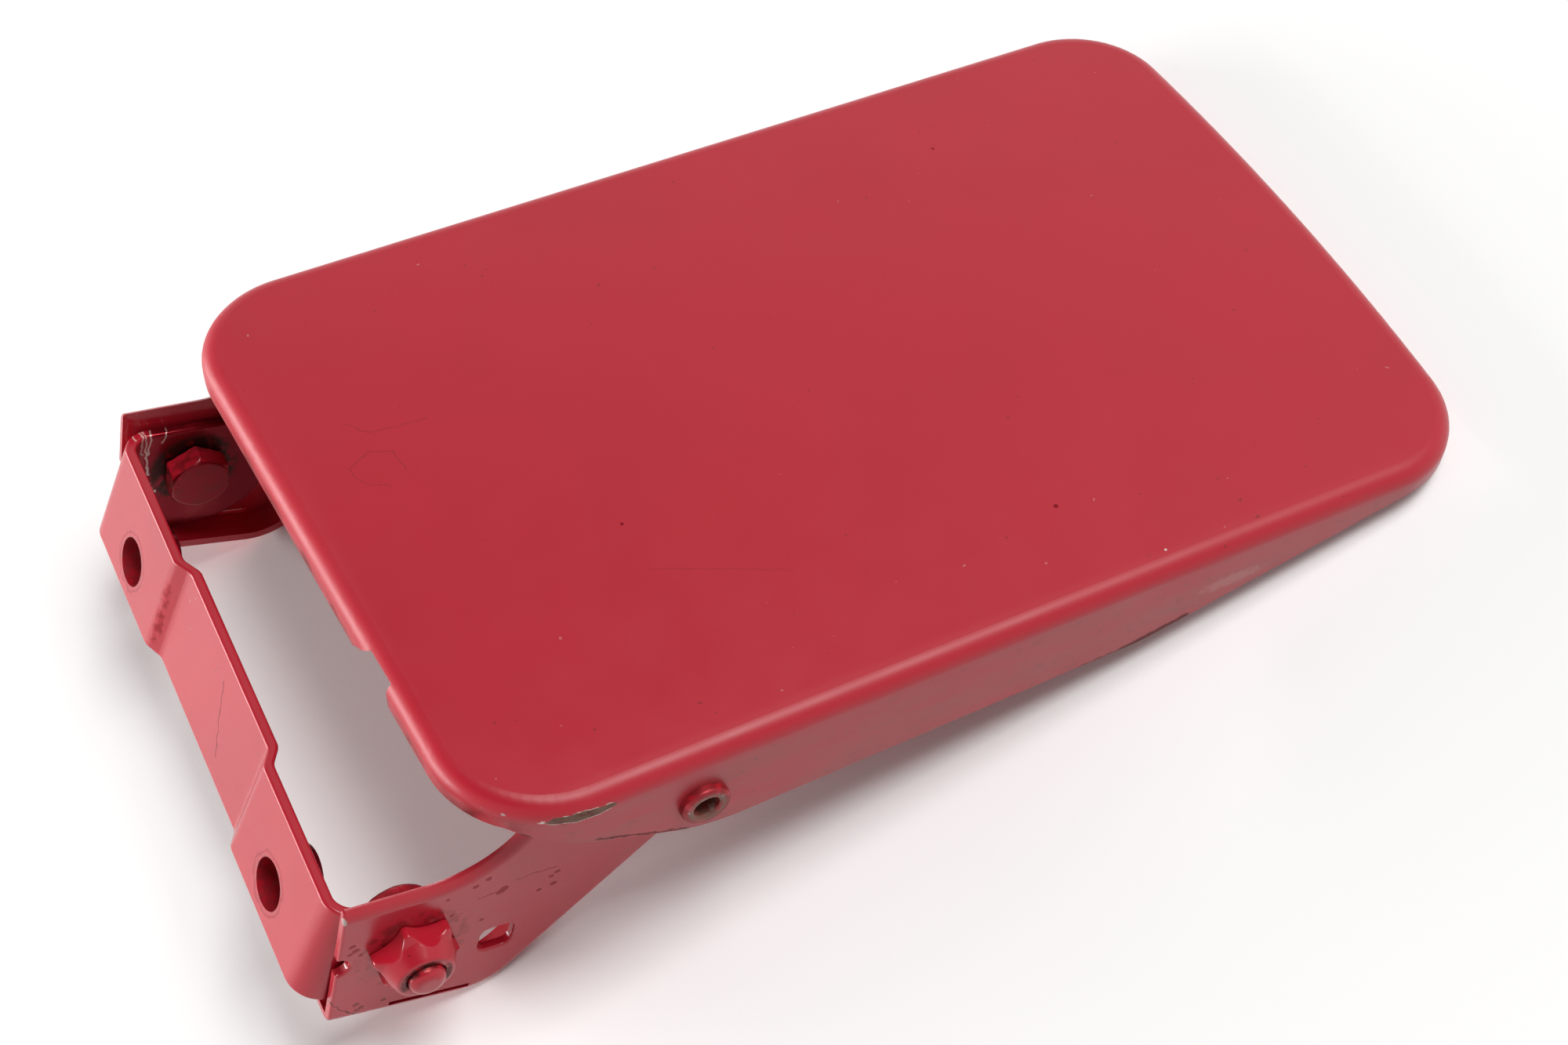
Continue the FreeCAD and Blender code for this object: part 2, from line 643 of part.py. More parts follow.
def about_pivot(sketch):
    # A construction line along the pivot, to turn a profile about.
    x = num("pivot_x")
    geo = sketch.addGeometry(Part.LineSegment(V(x, -90, 0), V(x, 20, 0)), True)
    sketch.addConstraint(Sketcher.Constraint("Vertical", geo))
    index = sketch.addConstraint(Sketcher.Constraint("DistanceX", -1, 1, geo, 1, x))
    sketch.setExpression("Constraints[%d]" % index, "Sheet.pivot_x")


def groove(body, sketch, name):
    feature = body.newObject("PartDesign::Groove", name)
    feature.Profile = sketch
    feature.ReferenceAxis = (sketch, ["Axis0"])
    feature.Angle = 360
    doc.recompute()
    return feature


corner_cut = new_sketch(bolt, "head_chamfer_line", "XY_Plane", "Sheet.pivot_z")
polygon(corner_cut, chamfer)
about_pivot(corner_cut)
groove(bolt, corner_cut, "head_chamfer_cut")
shank_line = new_sketch(bolt, "shank_line", "XZ_Plane", "Sheet.head_seat")
circle(shank_line, ("pivot_x", "pivot_z"), "bolt_radius")
shank = pad(bolt, shank_line, "shank", "Sheet.bolt_length")
tip = edges(shank, lambda e: e.CenterOfMass.y < -num("bolt_tip") + 0.01)
fillet(bolt, shank, "tip_round", tip, "bolt_tip_round")

# Pivot nut: hexagon with hollow flanks, flared to wide corners at the arm.
nut = new_body("pivot_nut_near")
place(nut, "door_slope", "door_x", "door_z")
star_line = new_sketch(nut, "star_line", "XZ_Plane", "Sheet.arm_face")
points = [V(num(a), num(b), 0) for a, b in star]
hub = V(num("pivot_x"), num("pivot_z"), 0)
for i in range(6):
    first, second = points[i], points[(i + 1) % 6]
    middle = (first + second) * 0.5 - hub
    outward = middle.normalize() * (num("nut_waist") / 2 + num("flank_radius"))
    star_line.addGeometry(arc(hub + outward, num("flank_radius"), second, first), False)
for i in range(6):
    star_line.addConstraint(Sketcher.Constraint("Coincident", i, 1, (i + 1) % 6, 2))
for i in range(6):
    pin(star_line, i, 2, star[i])
    bind_radius(star_line, i, "flank_radius")
nut_block = pad(nut, star_line, "nut_block", "Sheet.nut_height")
corner_edges = edges(nut_block, lambda e: upright(e, 1))
nut_round = fillet(nut, nut_block, "nut_corners_round", corner_edges, "nut_corner_round")
flare_line = new_sketch(nut, "flare_line", "XY_Plane", "Sheet.pivot_z")
polygon(flare_line, flare)
about_pivot(flare_line)
groove(nut, flare_line, "flare_cut")
bore = new_sketch(nut, "nut_bore", "XZ_Plane")
circle(bore, ("pivot_x", "pivot_z"), "nut_radius")
cut(nut, bore, "nut_bore_cut")

# Hinge bracket: U-shaped strip with joggled screw pads and rounded ears.
bracket = new_body("hinge_bracket")
place(bracket, "bracket_tilt", None, None)
section = new_sketch(bracket, "strip_section", "XY_Plane")
polygon(section, strip)
strip_block = pad(bracket, section, "strip_block", "Sheet.ear_radius * 6", both=True)
outer = [(0, num("ear_face")), (0, -num("ear_face"))]
bend_out = fillet(bracket, strip_block, "bend_outside",
                  edges(strip_block, lambda e: any(upright(e, 2, s) for s in outer)), "bend_radius")
inner = [(num("bracket_sheet"), num("ear_back")), (num("bracket_sheet"), -num("ear_back"))]
folds = [(num(strip[i][0]), num(strip[i][1])) for i in (2, 3, 4, 5, 10, 11, 12, 13)]
bend_in = fillet(bracket, bend_out, "bend_inside_fillet",
                 edges(bend_out, lambda e: any(upright(e, 2, s) for s in inner)), "bend_inside")
fillet(bracket, bend_in, "joggle_bends",
       edges(bend_in, lambda e: any(upright(e, 2, s) for s in folds)), "joggle_bend")
side = new_sketch(bracket, "ear_profile", "XZ_Plane")
polygon(side, frame)
points = [V(num(a), num(b), 0) for a, b in ear]
first = side.GeometryCount
side.addGeometry(Part.LineSegment(points[0], points[1]), False)
side.addGeometry(arc(points[4], num("ear_radius"), points[2], points[1]), False)
side.addGeometry(Part.LineSegment(points[2], points[3]), False)
side.addGeometry(Part.LineSegment(points[3], points[0]), False)
side.addConstraint(Sketcher.Constraint("Coincident", first, 2, first + 1, 2))
side.addConstraint(Sketcher.Constraint("Coincident", first + 1, 1, first + 2, 1))
side.addConstraint(Sketcher.Constraint("Coincident", first + 2, 2, first + 3, 1))
side.addConstraint(Sketcher.Constraint("Coincident", first + 3, 2, first, 1))
side.addConstraint(Sketcher.Constraint("Vertical", first + 1, 3, first + 1, 1))
pin(side, first, 1, ear[0])
pin(side, first + 2, 2, ear[3])
pin(side, first + 1, 3, ear[4])
bind_radius(side, first + 1, "ear_radius")
angle = side.addConstraint(Sketcher.Constraint("Angle", first, math.radians(num("ear_slope"))))
side.setExpression("Constraints[%d]" % angle, "Sheet.ear_slope * 1 deg")
trimmed = cut(bracket, side, "ear_cut")
screws = new_sketch(bracket, "screw_holes", "YZ_Plane", "-5 mm")
circle(screws, ("hole_near", "hole_line"), "hole_radius")
circle(screws, ("hole_far", "hole_line"), "hole_radius")
drilled = cut(bracket, screws, "screw_hole_cut", "Sheet.bracket_sheet + 10", reverse=True)
collars = new_sketch(bracket, "collar_rings", "YZ_Plane", "Sheet.bracket_sheet / 2")
for hole in ("hole_near", "hole_far"):
    circle(collars, (hole, "hole_line"), "hole_radius")
    circle(collars, (hole, "hole_line"), "collar_radius")
pad(bracket, collars, "drawn_collars", "Sheet.bracket_sheet / 2 + Sheet.collar_reach")
pivots = new_sketch(bracket, "pivot_holes", "XZ_Plane")
circle(pivots, ("pivot_in", "pivot_up"), "pivot_radius")
bored = cut(bracket, pivots, "pivot_hole_cut")
fillet(bracket, bored, "strip_edges", sheet_edges(bored, "bracket_sheet"), "edge_round")


def mirrored(source, name):
    # The same piece on the far side of the hinge.
    twin = doc.addObject("Part::Mirroring", name)
    twin.Source = source
    twin.Normal = V(0, 1, 0)
    return twin


pieces = [panel, arm, rivet, bolt, nut, bracket]
for source in (arm, rivet, bolt, nut):
    pieces.append(mirrored(source, source.Name.replace("_near", "_far")))
doc.recompute()

for item in doc.Objects:
    if "Invalid" in item.State or "Error" in item.State:
        raise RuntimeError("%s did not recompute" % item.Name)
os.makedirs("parts", exist_ok=True)
for piece in pieces:
    if piece.Shape.isNull() or not piece.Shape.isValid():
        raise RuntimeError("%s has no valid solid" % piece.Name)
    piece.Shape.exportStep("parts/%s.step" % piece.Name)
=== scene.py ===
import math

import bpy
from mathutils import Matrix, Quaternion, Vector


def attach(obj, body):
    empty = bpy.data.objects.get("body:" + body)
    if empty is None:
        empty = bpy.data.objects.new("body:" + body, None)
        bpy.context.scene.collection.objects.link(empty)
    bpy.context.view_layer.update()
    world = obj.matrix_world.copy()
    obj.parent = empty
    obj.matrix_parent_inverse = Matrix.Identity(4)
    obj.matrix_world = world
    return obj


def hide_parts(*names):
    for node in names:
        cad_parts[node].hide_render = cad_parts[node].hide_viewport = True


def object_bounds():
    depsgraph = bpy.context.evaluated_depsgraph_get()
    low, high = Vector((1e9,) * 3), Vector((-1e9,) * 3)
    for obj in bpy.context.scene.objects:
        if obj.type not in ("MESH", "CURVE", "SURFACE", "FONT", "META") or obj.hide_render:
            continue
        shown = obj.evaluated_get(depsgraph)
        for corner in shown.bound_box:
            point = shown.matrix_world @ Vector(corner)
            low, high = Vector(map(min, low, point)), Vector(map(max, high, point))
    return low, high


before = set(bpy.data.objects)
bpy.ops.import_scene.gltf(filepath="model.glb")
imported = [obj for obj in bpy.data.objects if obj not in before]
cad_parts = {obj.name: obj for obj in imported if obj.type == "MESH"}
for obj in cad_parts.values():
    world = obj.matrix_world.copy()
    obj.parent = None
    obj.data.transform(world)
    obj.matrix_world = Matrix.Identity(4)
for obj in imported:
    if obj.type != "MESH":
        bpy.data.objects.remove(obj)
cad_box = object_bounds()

MM = 0.001

# The door's own axes run from its hinge edge, along the hinge and out of its face.
# The bracket's own axes run inward from its screw pads, along the hinge and up the web.
DOOR_SLOPE = math.radians(14.2)
DOOR_ORIGIN = (28.99, 0.0, 24.17)
BRACKET_TILT = math.radians(37.7)
BRACKET_ORIGIN = (0.0, 0.0, 0.0)
DOOR_PIVOT = (-6.5, 0.0, -30.6)
BRACKET_PIVOT = (14.4, 0.0, 6.2)
RIVET_AXIS = (38.4, 0.0, -12.3)
SCREW_HALF_SPACING = 34.0
SCREW_HOLE_RADIUS = 4.2

# Axes that stay when points are pressed flat on the panel's face, on an arm or ear, and on the web.
ON_FACE = (1, 1, 0)
ON_SIDE = (1, 0, 1)
ON_WEB = (0, 1, 1)

# Colours of the finishes, some of them also used as painted shade.
RED = (0.455, 0.011, 0.026, 1.0)
DEEP_RED = (0.27, 0.004, 0.011, 1.0)
DARK_RED = (0.10, 0.004, 0.006, 1.0)
FLECK_RED = (0.17, 0.004, 0.010, 1.0)
SOILED_RED = (0.115, 0.022, 0.020, 1.0)
EAR_SHADE_RED = (0.150, 0.005, 0.012, 1.0)
GRIME_AND_SHADE = (0.030, 0.016, 0.013, 1.0)
FILM = (0.21, 0.105, 0.095, 1.0)
DUST = (0.62, 0.36, 0.34, 1.0)
PRIMER_BROWN = (0.150, 0.078, 0.052, 1.0)
PALE_EDGE = (0.70, 0.62, 0.56, 1.0)
WORN_EDGE = (0.42, 0.33, 0.31, 1.0)

# Gloss and orange peel of the paint.
PAINT_SPECULAR = 0.45
GLOSS_SPREAD = 0.14
PEEL_HEIGHT = 0.6
PEEL_DISTANCE = 0.25 * MM

# Thick paint on the fasteners.
WELD = 0.002 * MM
PAINT_CELL = 0.2 * MM
PAINT_FLOW = 0.5
NUT_PASSES = 6
BOLT_PASSES = 10

# The table, which runs out into white away from the part.
TABLE_SIZE = 6.0
TABLE_CENTRE = 0.1
TABLE_WHITE = (0.96, 0.955, 0.95, 1.0)
TABLE_SMUDGE = (0.84, 0.83, 0.82, 1.0)
SMUDGE_SHARE = 0.04
SMUDGE_SCALE = 3.0
TABLE_ROUGHNESS = 0.6
FADE_START = 0.35
FADE_END = 0.80

# The studio: white to the camera, dim on matte surfaces, with a darker ceiling in the gloss.
STUDIO_WHITE = (1.0, 1.0, 1.0, 1.0)
AMBIENT = 0.20
CEILING = 0.15
CEILING_START = 0.54
CEILING_FULL = 0.88

# The lamps, each a name, a place, an aim, a size in metres and a power in watts.
LAMPS = (("overhead", (0.80, -0.17, 1.52), (0.1, 0.0, 0.0), (0.87, 0.87), 24.0),
         ("window", (-1.00, 0.50, 0.20), (0.0, 0.0, 0.0), (1.1, 0.27), 17.0))

# The photograph's camera.
CAMERA_PLACE = Vector((53.38, -223.59, 310.43)) * MM
CAMERA_AIM = Vector((95.95, -20.92, 0.0)) * MM
CAMERA_ROLL = math.radians(-18.52)
CAMERA_LENS = 54.0
CAMERA_SENSOR = 36.0
CAMERA_CLIP = 0.01


class Socket:
    """An output of a material's node; arithmetic on it adds Math nodes."""

    def __init__(self, tree, output):
        self.tree = tree
        self.output = output

    def node(self, kind, inputs, output=0, **settings):
        made = self.tree.nodes.new(kind)
        for name, value in settings.items():
            setattr(made, name, value)
        for key, value in inputs.items():
            if isinstance(value, Socket):
                self.tree.links.new(value.output, made.inputs[key])
            else:
                made.inputs[key].default_value = value
        return Socket(self.tree, made.outputs[output])

    def math(self, operation, first, second=0.0, **settings):
        return self.node("ShaderNodeMath", {0: first, 1: second}, operation=operation, **settings)

    def __add__(self, other):
        return self.math("ADD", self, other)

    __radd__ = __add__

    def __sub__(self, other):
        return self.math("SUBTRACT", self, other)

    def __rsub__(self, other):
        return self.math("SUBTRACT", other, self)

    def __mul__(self, other):
        return self.math("MULTIPLY", self, other)

    __rmul__ = __mul__

    def __or__(self, other):
        return self.math("MAXIMUM", self, other)


def start(name):
    """A new material, with its shader and its object coordinates."""
    material = bpy.data.materials.new(name)
    material.use_nodes = True
    tree = material.node_tree
    coordinates = tree.nodes.new("ShaderNodeTexCoord")
    return material, tree.nodes["Principled BSDF"], Socket(tree, coordinates.outputs["Object"])


def turned(place, origin, angle):
    """Object coordinates in millimetres, in the axes of a piece that was turned about Y and moved."""
    back = Vector(origin)
    back.rotate(Quaternion((0, 1, 0), -angle))
    return place.node("ShaderNodeMapping", {
        "Vector": place, "Location": tuple(-back), "Rotation": (0, -angle, 0),
        "Scale": (1 / MM, 1 / MM, 1 / MM)})


def part_of(point, axis):
    """One coordinate of a point."""
    return point.node("ShaderNodeSeparateXYZ", {0: point}, output=axis)


def vector(operation, first, second=(0, 0, 0), output="Vector"):
    """Vector Math on points."""
    return first.node("ShaderNodeVectorMath", {0: first, 1: second}, output=output, operation=operation)


def length(point):
    """Distance of a point from zero."""
    return vector("LENGTH", point, output="Value")


def pressed(point, keep):
    """Points pressed flat, for marks on a face."""
    return vector("MULTIPLY", point, keep)


made_noise = {}


def noise(point, scale, detail=3.0, roughness=0.55, stretch=None, output="Fac"):
    """Noise with features about 1 / scale across, made once for all its uses on a material."""
    key = (point.output, scale, detail, roughness, stretch, output)
    if key not in made_noise:
        if stretch:
            point = vector("MULTIPLY", point, stretch)
        made_noise[key] = point.node("ShaderNodeTexNoise", {
            "Vector": point, "Scale": scale, "Detail": detail, "Roughness": roughness}, output=output)
    return made_noise[key]


def ramp(value, low, high):
    """0 at low, 1 at high, smooth between; low may be the larger."""
    return value.node("ShaderNodeMapRange", {
        "Value": value, "From Min": low, "From Max": high}, interpolation_type="SMOOTHSTEP")


def mix(share, first, second):
    """Two colours mixed, by the share of the second."""
    return share.node("ShaderNodeMix", {0: share, 6: first, 7: second}, output=2, data_type="RGBA")


def from_axis(point, axis):
    """Distance from an axis along the hinge, given by a point on it."""
    return length(pressed(vector("SUBTRACT", point, axis), ON_SIDE))


def ragged_reach(point, centre, radii, ragged, grain=0.9):
    """Distance from a centre as a share of the radii there, 1 on a ragged outline."""
    offset = vector("SUBTRACT", point, centre)
    scaled = vector("MULTIPLY", offset, tuple(1 / radius for radius in radii))
    return length(scaled) + (noise(point, grain) - 0.5) * (2 * ragged)


def blot(point, centre, radii, ragged=0.35, soft=0.12):
    """A ragged spot about a centre, 1 inside and 0 outside."""
    return ramp(ragged_reach(point, centre, radii, ragged), 1.0 + soft, 1.0 - soft)


def blots(point, spots, flat=(1.0, 1.0, 1.0), ragged=0.5):
    """Several ragged spots, each a centre and a radius."""
    marks = None
    for centre, size in spots:
        mark = blot(point, centre, tuple(size * share for share in flat), ragged)
        marks = mark if marks is None else marks | mark
    return marks


def shaken(point, reach):
    """Points moved a little, for lines that wander."""
    shift = vector("SUBTRACT", noise(point, 0.6, output="Color"), (0.5, 0.5, 0.5))
    return vector("ADD", point, vector("MULTIPLY", shift, (reach, reach, reach)))


def stroke(point, first, last, width):
    """A line from one point to another, 1 at its middle and 0 at its edge."""
    along = Vector(last) - Vector(first)
    offset = vector("SUBTRACT", point, tuple(first))
    share = vector("DOT_PRODUCT", offset, tuple(along / along.length_squared), output="Value")
    share = share.math("MULTIPLY", share, 1.0, use_clamp=True)
    nearest = point.node("ShaderNodeVectorMath", {0: tuple(along), "Scale": share}, operation="SCALE")
    return ramp(length(vector("SUBTRACT", offset, nearest)), width / 2, width / 6)


def strokes(point, corners, width):
    """A line through several points."""
    line = stroke(point, corners[0], corners[1], width)
    for first, last in zip(corners[1:], corners[2:]):
        line = line | stroke(point, first, last, width)
    return line


def face_points(*pairs):
    """Points pressed flat on the panel's face, from their X and Y."""
    return [(x, y, 0.0) for x, y in pairs]


def side_points(*pairs):
    """Points pressed flat on an arm or ear, from their X and Z."""
    return [(x, 0.0, z) for x, z in pairs]


def web_points(*pairs):
    """Points pressed flat on the web, from their Y and Z."""
    return [(0.0, y, z) for y, z in pairs]


def side_spots(*rows):
    """Spots pressed flat on an arm, from their X, Z and radius."""
    return [((x, 0.0, z), size) for x, z, size in rows]


class Coat:
    """Sprayed red paint with its unevenness, orange peel, nibs and dust, for more to be laid over."""

    def __init__(self, name, origin, angle, roughness, mottling, peel=1.0):
        self.material, self.shader, place = start(name)
        self.point = turned(place, origin, angle)
        cloud = noise(self.point, 0.03)
        self.colour = mix(ramp(cloud, 0.30, 0.75) * mottling, RED, DEEP_RED)
        grit = noise(self.point, 0.8, 1.0)
        self.colour = mix(ramp(grit, 0.785, 0.81) * 0.55, self.colour, DARK_RED)
        self.colour = mix(ramp(grit, 0.195, 0.175) * 0.3, self.colour, DUST)
        self.rough = roughness + (noise(self.point, 0.10) - 0.5) * GLOSS_SPREAD
        self.height = noise(self.point, 0.5) * (PEEL_HEIGHT * peel)
        self.metal = None

    def lay(self, mask, stain, dull=0.0, depth=0.0, tinted=False):
        """A stain where the mask is 1; a tinted one also colours the gloss."""
        self.colour = mix(mask, self.colour, stain)
        if dull:
            self.roughen(mask * dull)
        if depth:
            self.height = self.height - mask * depth
        if tinted:
            self.metal = mask if self.metal is None else self.metal | mask

    def roughen(self, amount):
        self.rough = self.rough + amount

    def finish(self, bump=0.10):
        shader = self.shader
        normal = self.height.node("ShaderNodeBump", {
            "Strength": bump, "Distance": PEEL_DISTANCE, "Height": self.height})
        links = self.material.node_tree.links
        links.new(self.colour.output, shader.inputs["Base Color"])
        links.new(self.rough.output, shader.inputs["Roughness"])
        links.new(normal.output, shader.inputs["Normal"])
        if self.metal is not None:
            links.new(self.metal.output, shader.inputs["Metallic"])
        shader.inputs["Specular IOR Level"].default_value = PAINT_SPECULAR
        return self.material


def panel_paint():
    coat = Coat("panel_paint", DOOR_ORIGIN, DOOR_SLOPE, roughness=0.31, mottling=0.11, peel=0.7)
    point = coat.point
    along = part_of(point, "X")
    depth = part_of(point, "Z")
    wander = shaken(point, 1.3)
    # Dirt film on the flanges, with flecks.
    flange = ramp(depth, -2.6, -5.5)
    film = ramp(noise(point, 0.09, 4.0, 0.62, stretch=(0.5, 1.0, 2.0)), 0.22, 0.80)
    coat.lay(flange * film * 0.40, FILM, dull=0.10)
    fleck = ramp(noise(point, 0.5), 0.60, 0.70)
    coat.lay(flange * fleck * 0.16, GRIME_AND_SHADE, dull=0.05, depth=0.05)
    # Dull rims along the hinge edge and the near side.
    coat.roughen(ramp(along, 6.0, 2.0) * 0.16)
    coat.roughen(ramp(part_of(point, "Y"), -54.0, -57.0) * (1 - flange) * 0.12)
    # Rubbed lower edges, a painted shadow line where the near flange's lower edge meets the arm, a soiled
    # hinge-edge lip and a scuff.
    rubbed_edge_and_shadow_line = strokes(wander, [(100, -59, -18.9), (112, -59, -18.2), (124, -59, -15.6)], 1.8)
    # Painted shadow line along the near flange's lower edge, where it meets the arm.
    rubbed_edge_and_shadow_line = rubbed_edge_and_shadow_line | strokes(wander, [(9, -55.5, -6.2), (22, -58.9, -11.6), (36, -59, -18.4)], 0.8)
    coat.lay(rubbed_edge_and_shadow_line * 0.75, GRIME_AND_SHADE, dull=0.25, tinted=True)
    lip = ramp(depth, -2.6, -4.8) * ramp(along, 15.0, 9.0)
    soil = ramp(noise(point, 0.14, 4.0, 0.62), 0.34, 0.66)
    coat.lay(lip * soil * 0.72, SOILED_RED, dull=0.1, tinted=True)
    scuff = blot(point, (131.5, -59.0, -10.4), (5.0, 2.0, 1.3), ragged=0.8, soft=0.5)
    coat.lay(scuff * 0.22, DUST, dull=0.1)
    # Chip beside the rounded corner, with its pale broken edge.
    chip = ragged_reach(point, (18.9, -58.5, -3.65), (5.6, 3.0, 0.90), ragged=0.55, grain=0.5)
    broken = ramp(noise(point, 0.35), 0.44, 0.52)
    coat.lay(ramp(chip, 1.15, 1.08) * broken * 0.8, PALE_EDGE, dull=0.2)
    coat.lay(ramp(chip, 1.02, 0.94), PRIMER_BROWN, dull=0.3, depth=0.5)
    residue = ramp(noise(point, 0.8, 1.0), 0.50, 0.66)
    coat.lay(ramp(chip, 0.95, 0.75) * residue * 0.6, SOILED_RED, dull=0.1)
    # Small bare spots on the corner.
    bare = (((7.0, -51.6, -2.9), 0.45), ((9.4, -53.9, -2.9), 0.6), ((10.3, -54.6, -2.8), 0.4))
    coat.lay(blots(point, bare, (1.0, 1.0, 0.6)) * 0.8, WORN_EDGE, dull=0.15)
    # Hairline cracks, a faint scratch and nibs in the face.
    face = ramp(depth, -2.2, -1.6)
    fine = pressed(wander, ON_FACE)
    crack = strokes(fine, face_points((19.4, 8.4), (18.6, 13.2), (15.3, 14.7), (11.2, 12.5), (11.9, 9.2),
                                      (16.0, 6.4)), 0.30)
    crack = crack | strokes(fine, face_points((13.6, 21.8), (16.6, 18.4), (26.2, 17.3)), 0.30)
    coat.lay(face * crack * 0.45, FLECK_RED)
    scratch = strokes(fine, face_points((45.6, -25.2), (65.0, -34.3)), 0.45)
    coat.lay(face * scratch * 0.25, FLECK_RED)
    flat = pressed(point, ON_FACE)
    places = face_points((108.5, -40.6), (45.2, -15.4), (131.2, 39.6))
    nibs = blots(flat, zip(places, (0.35, 0.30, 0.30)))
    coat.lay(face * nibs * 0.8, FLECK_RED, tinted=True)
    coat.lay(blot(flat, (119.7, -55.1, 0), (0.22, 0.22, 1), ragged=0.3) * 0.8, PALE_EDGE)
    return coat.finish(bump=0.08)


def arm_paint():
    coat = Coat("arm_paint", DOOR_ORIGIN, DOOR_SLOPE, roughness=0.19, mottling=0.3)
    point = coat.point
    film = ramp(noise(point, 0.10), 0.40, 0.70)
    coat.lay(film * 0.10, FILM, dull=0.05)
    ring = ramp(from_axis(point, DOOR_PIVOT), 9.6, 8.2) * ramp(noise(point, 0.5), 0.46, 0.60)
    coat.lay(ring * 0.35, GRIME_AND_SHADE, dull=0.2, tinted=True)
    # Flecks, pits and runs of thick paint on the near arm's outer side, and a crack at its fold.
    side = ramp(part_of(point, "Y"), -52.5, -53.0)
    flat = pressed(point, ON_SIDE)
    fine = pressed(shaken(point, 1.4), ON_SIDE)
    drawn_out = (1.2, 2.0, 1.0)
    flecks = side_spots((4.2, -20.9, 0.40), (6.3, -20.2, 0.45), (8.5, -24.5, 0.60), (7.8, -25.0, 0.55),
                        (13.9, -28.9, 0.35), (16.3, -28.7, 0.45), (17.0, -25.8, 0.40), (16.0, -26.5, 0.35),
                        (-0.2, -21.4, 0.30), (0.0, -26.2, 0.30), (4.5, -30.8, 0.30), (-6.8, -25.1, 0.35),
                        (-15.2, -23.7, 0.45), (-14.9, -25.1, 0.50), (-15.8, -25.6, 0.35),
                        (-14.3, -26.8, 0.35))
    coat.lay(side * blots(flat, flecks, drawn_out, 0.7) * 0.9, FLECK_RED, tinted=True)
    pits = side_spots((-16.5, -40.5, 0.40), (-15.8, -41.9, 0.45), (-16.5, -42.2, 0.35), (-12.2, -42.4, 0.40))
    coat.lay(side * blots(flat, pits, drawn_out, 0.7) * 0.8, SOILED_RED, dull=0.1, tinted=True)
    run = strokes(fine, side_points((4.4, -24.5), (7.4, -24.7), (8.7, -24.5)), 0.40)
    run = run | strokes(fine, side_points((10.7, -23.7), (13.7, -23.6), (16.9, -24.4)), 0.35)
    coat.lay(side * run * 0.7, FLECK_RED, tinted=True)
    crack = strokes(fine, side_points((-20.0, -37.5), (-17.7, -42.2), (-14.7, -45.5), (-11.0, -45.2)), 0.30)
    coat.lay(side * crack * 0.8, GRIME_AND_SHADE, dull=0.1, tinted=True)
    # Paint knocked off the upper corner.
    bare = blot(point, (-15.7, -53.2, -16.6), (0.45, 0.8, 0.75))
    coat.lay(bare * 0.9, WORN_EDGE, dull=0.1)
    return coat.finish()


def bracket_paint():
    coat = Coat("bracket_paint", BRACKET_ORIGIN, BRACKET_TILT, roughness=0.24, mottling=0.3)
    point = coat.point
    across = part_of(point, "Y")
    wander = shaken(point, 1.5)
    # Ears darkened with painted shade, their gloss tinted dark too, with grime round the bolt heads.
    inside = ramp(part_of(point, "X"), 3.2, 6.0)
    shade = ramp(noise(point, 0.10), 0.25, 0.55)
    # Painted shade on the ears, darker red with a darkened gloss.
    coat.lay(inside * (shade * 0.30 + 0.55), EAR_SHADE_RED, tinted=True)
    ring = ramp(from_axis(point, BRACKET_PIVOT), 8.4, 6.9) * ramp(noise(point, 0.5), 0.34, 0.52)
    coat.lay(inside * ring * 0.9, GRIME_AND_SHADE, dull=0.25, tinted=True)
    # Cracked paint round the screw holes, and painted shade darkening inside them.
    web = 1 - inside
    centred = point.node("ShaderNodeCombineXYZ", {
        0: across.math("ABSOLUTE", across) - SCREW_HALF_SPACING, 1: part_of(point, "Z"), 2: 0.0})
    past_hole = length(centred) + (noise(point, 0.5) - 0.5) * 2.2 - SCREW_HOLE_RADIUS
    crack = ramp(past_hole, 0.5, 0.8) * ramp(past_hole, 1.15, 0.85)
    coat.lay(web * crack * 0.6, FLECK_RED, dull=0.1, depth=0.5, tinted=True)
    # Painted shade inside the screw holes and at their rims.
    coat.lay(web * ramp(past_hole, 0.45, -0.2) * 0.40, GRIME_AND_SHADE, dull=0.2)
    # Rub marks in the joggles and a crack across the web.
    rub = stroke(wander, (0.6, 21.3, 7.5), (0.6, 20.2, -4.5), 2.6)
    rub = rub | stroke(wander, (0.6, -20.2, 6.0), (0.6, -20.8, -5.0), 2.0)
    coat.lay(rub * ramp(noise(point, 0.5), 0.38, 0.60) * 0.6, FLECK_RED, tinted=True)
    crack = strokes(pressed(wander, ON_WEB), web_points((-1.2, 9.0), (-3.0, 4.0), (-6.4, -2.9)), 0.42)
    coat.lay(web * crack * 0.8, FLECK_RED, tinted=True)
    # Scratches in the far ear.
    far_ear = ramp(across, 48.8, 49.2)
    fine = pressed(wander, ON_SIDE)
    deep = strokes(fine, side_points((2.7, 9.7), (4.8, 6.5), (6.2, 3.7), (8.7, 0.7)), 0.75)
    light = strokes(fine, side_points((1.9, 16.5), (2.5, 10.2)), 0.42)
    for corners in (side_points((3.1, 16.2), (4.8, 10.7), (6.6, 4.6)),
                    side_points((4.9, 16.4), (5.3, 11.9), (5.4, 9.5)),
                    side_points((3.8, 17.0), (3.3, 12.6), (4.5, 9.6)),
                    side_points((7.9, 15.1), (7.6, 13.6), (7.2, 12.4))):
        light = light | strokes(fine, corners, 0.42)
    coat.lay(far_ear * (light * 0.55 | deep * 0.9), PALE_EDGE, dull=0.2)
    return coat.finish()


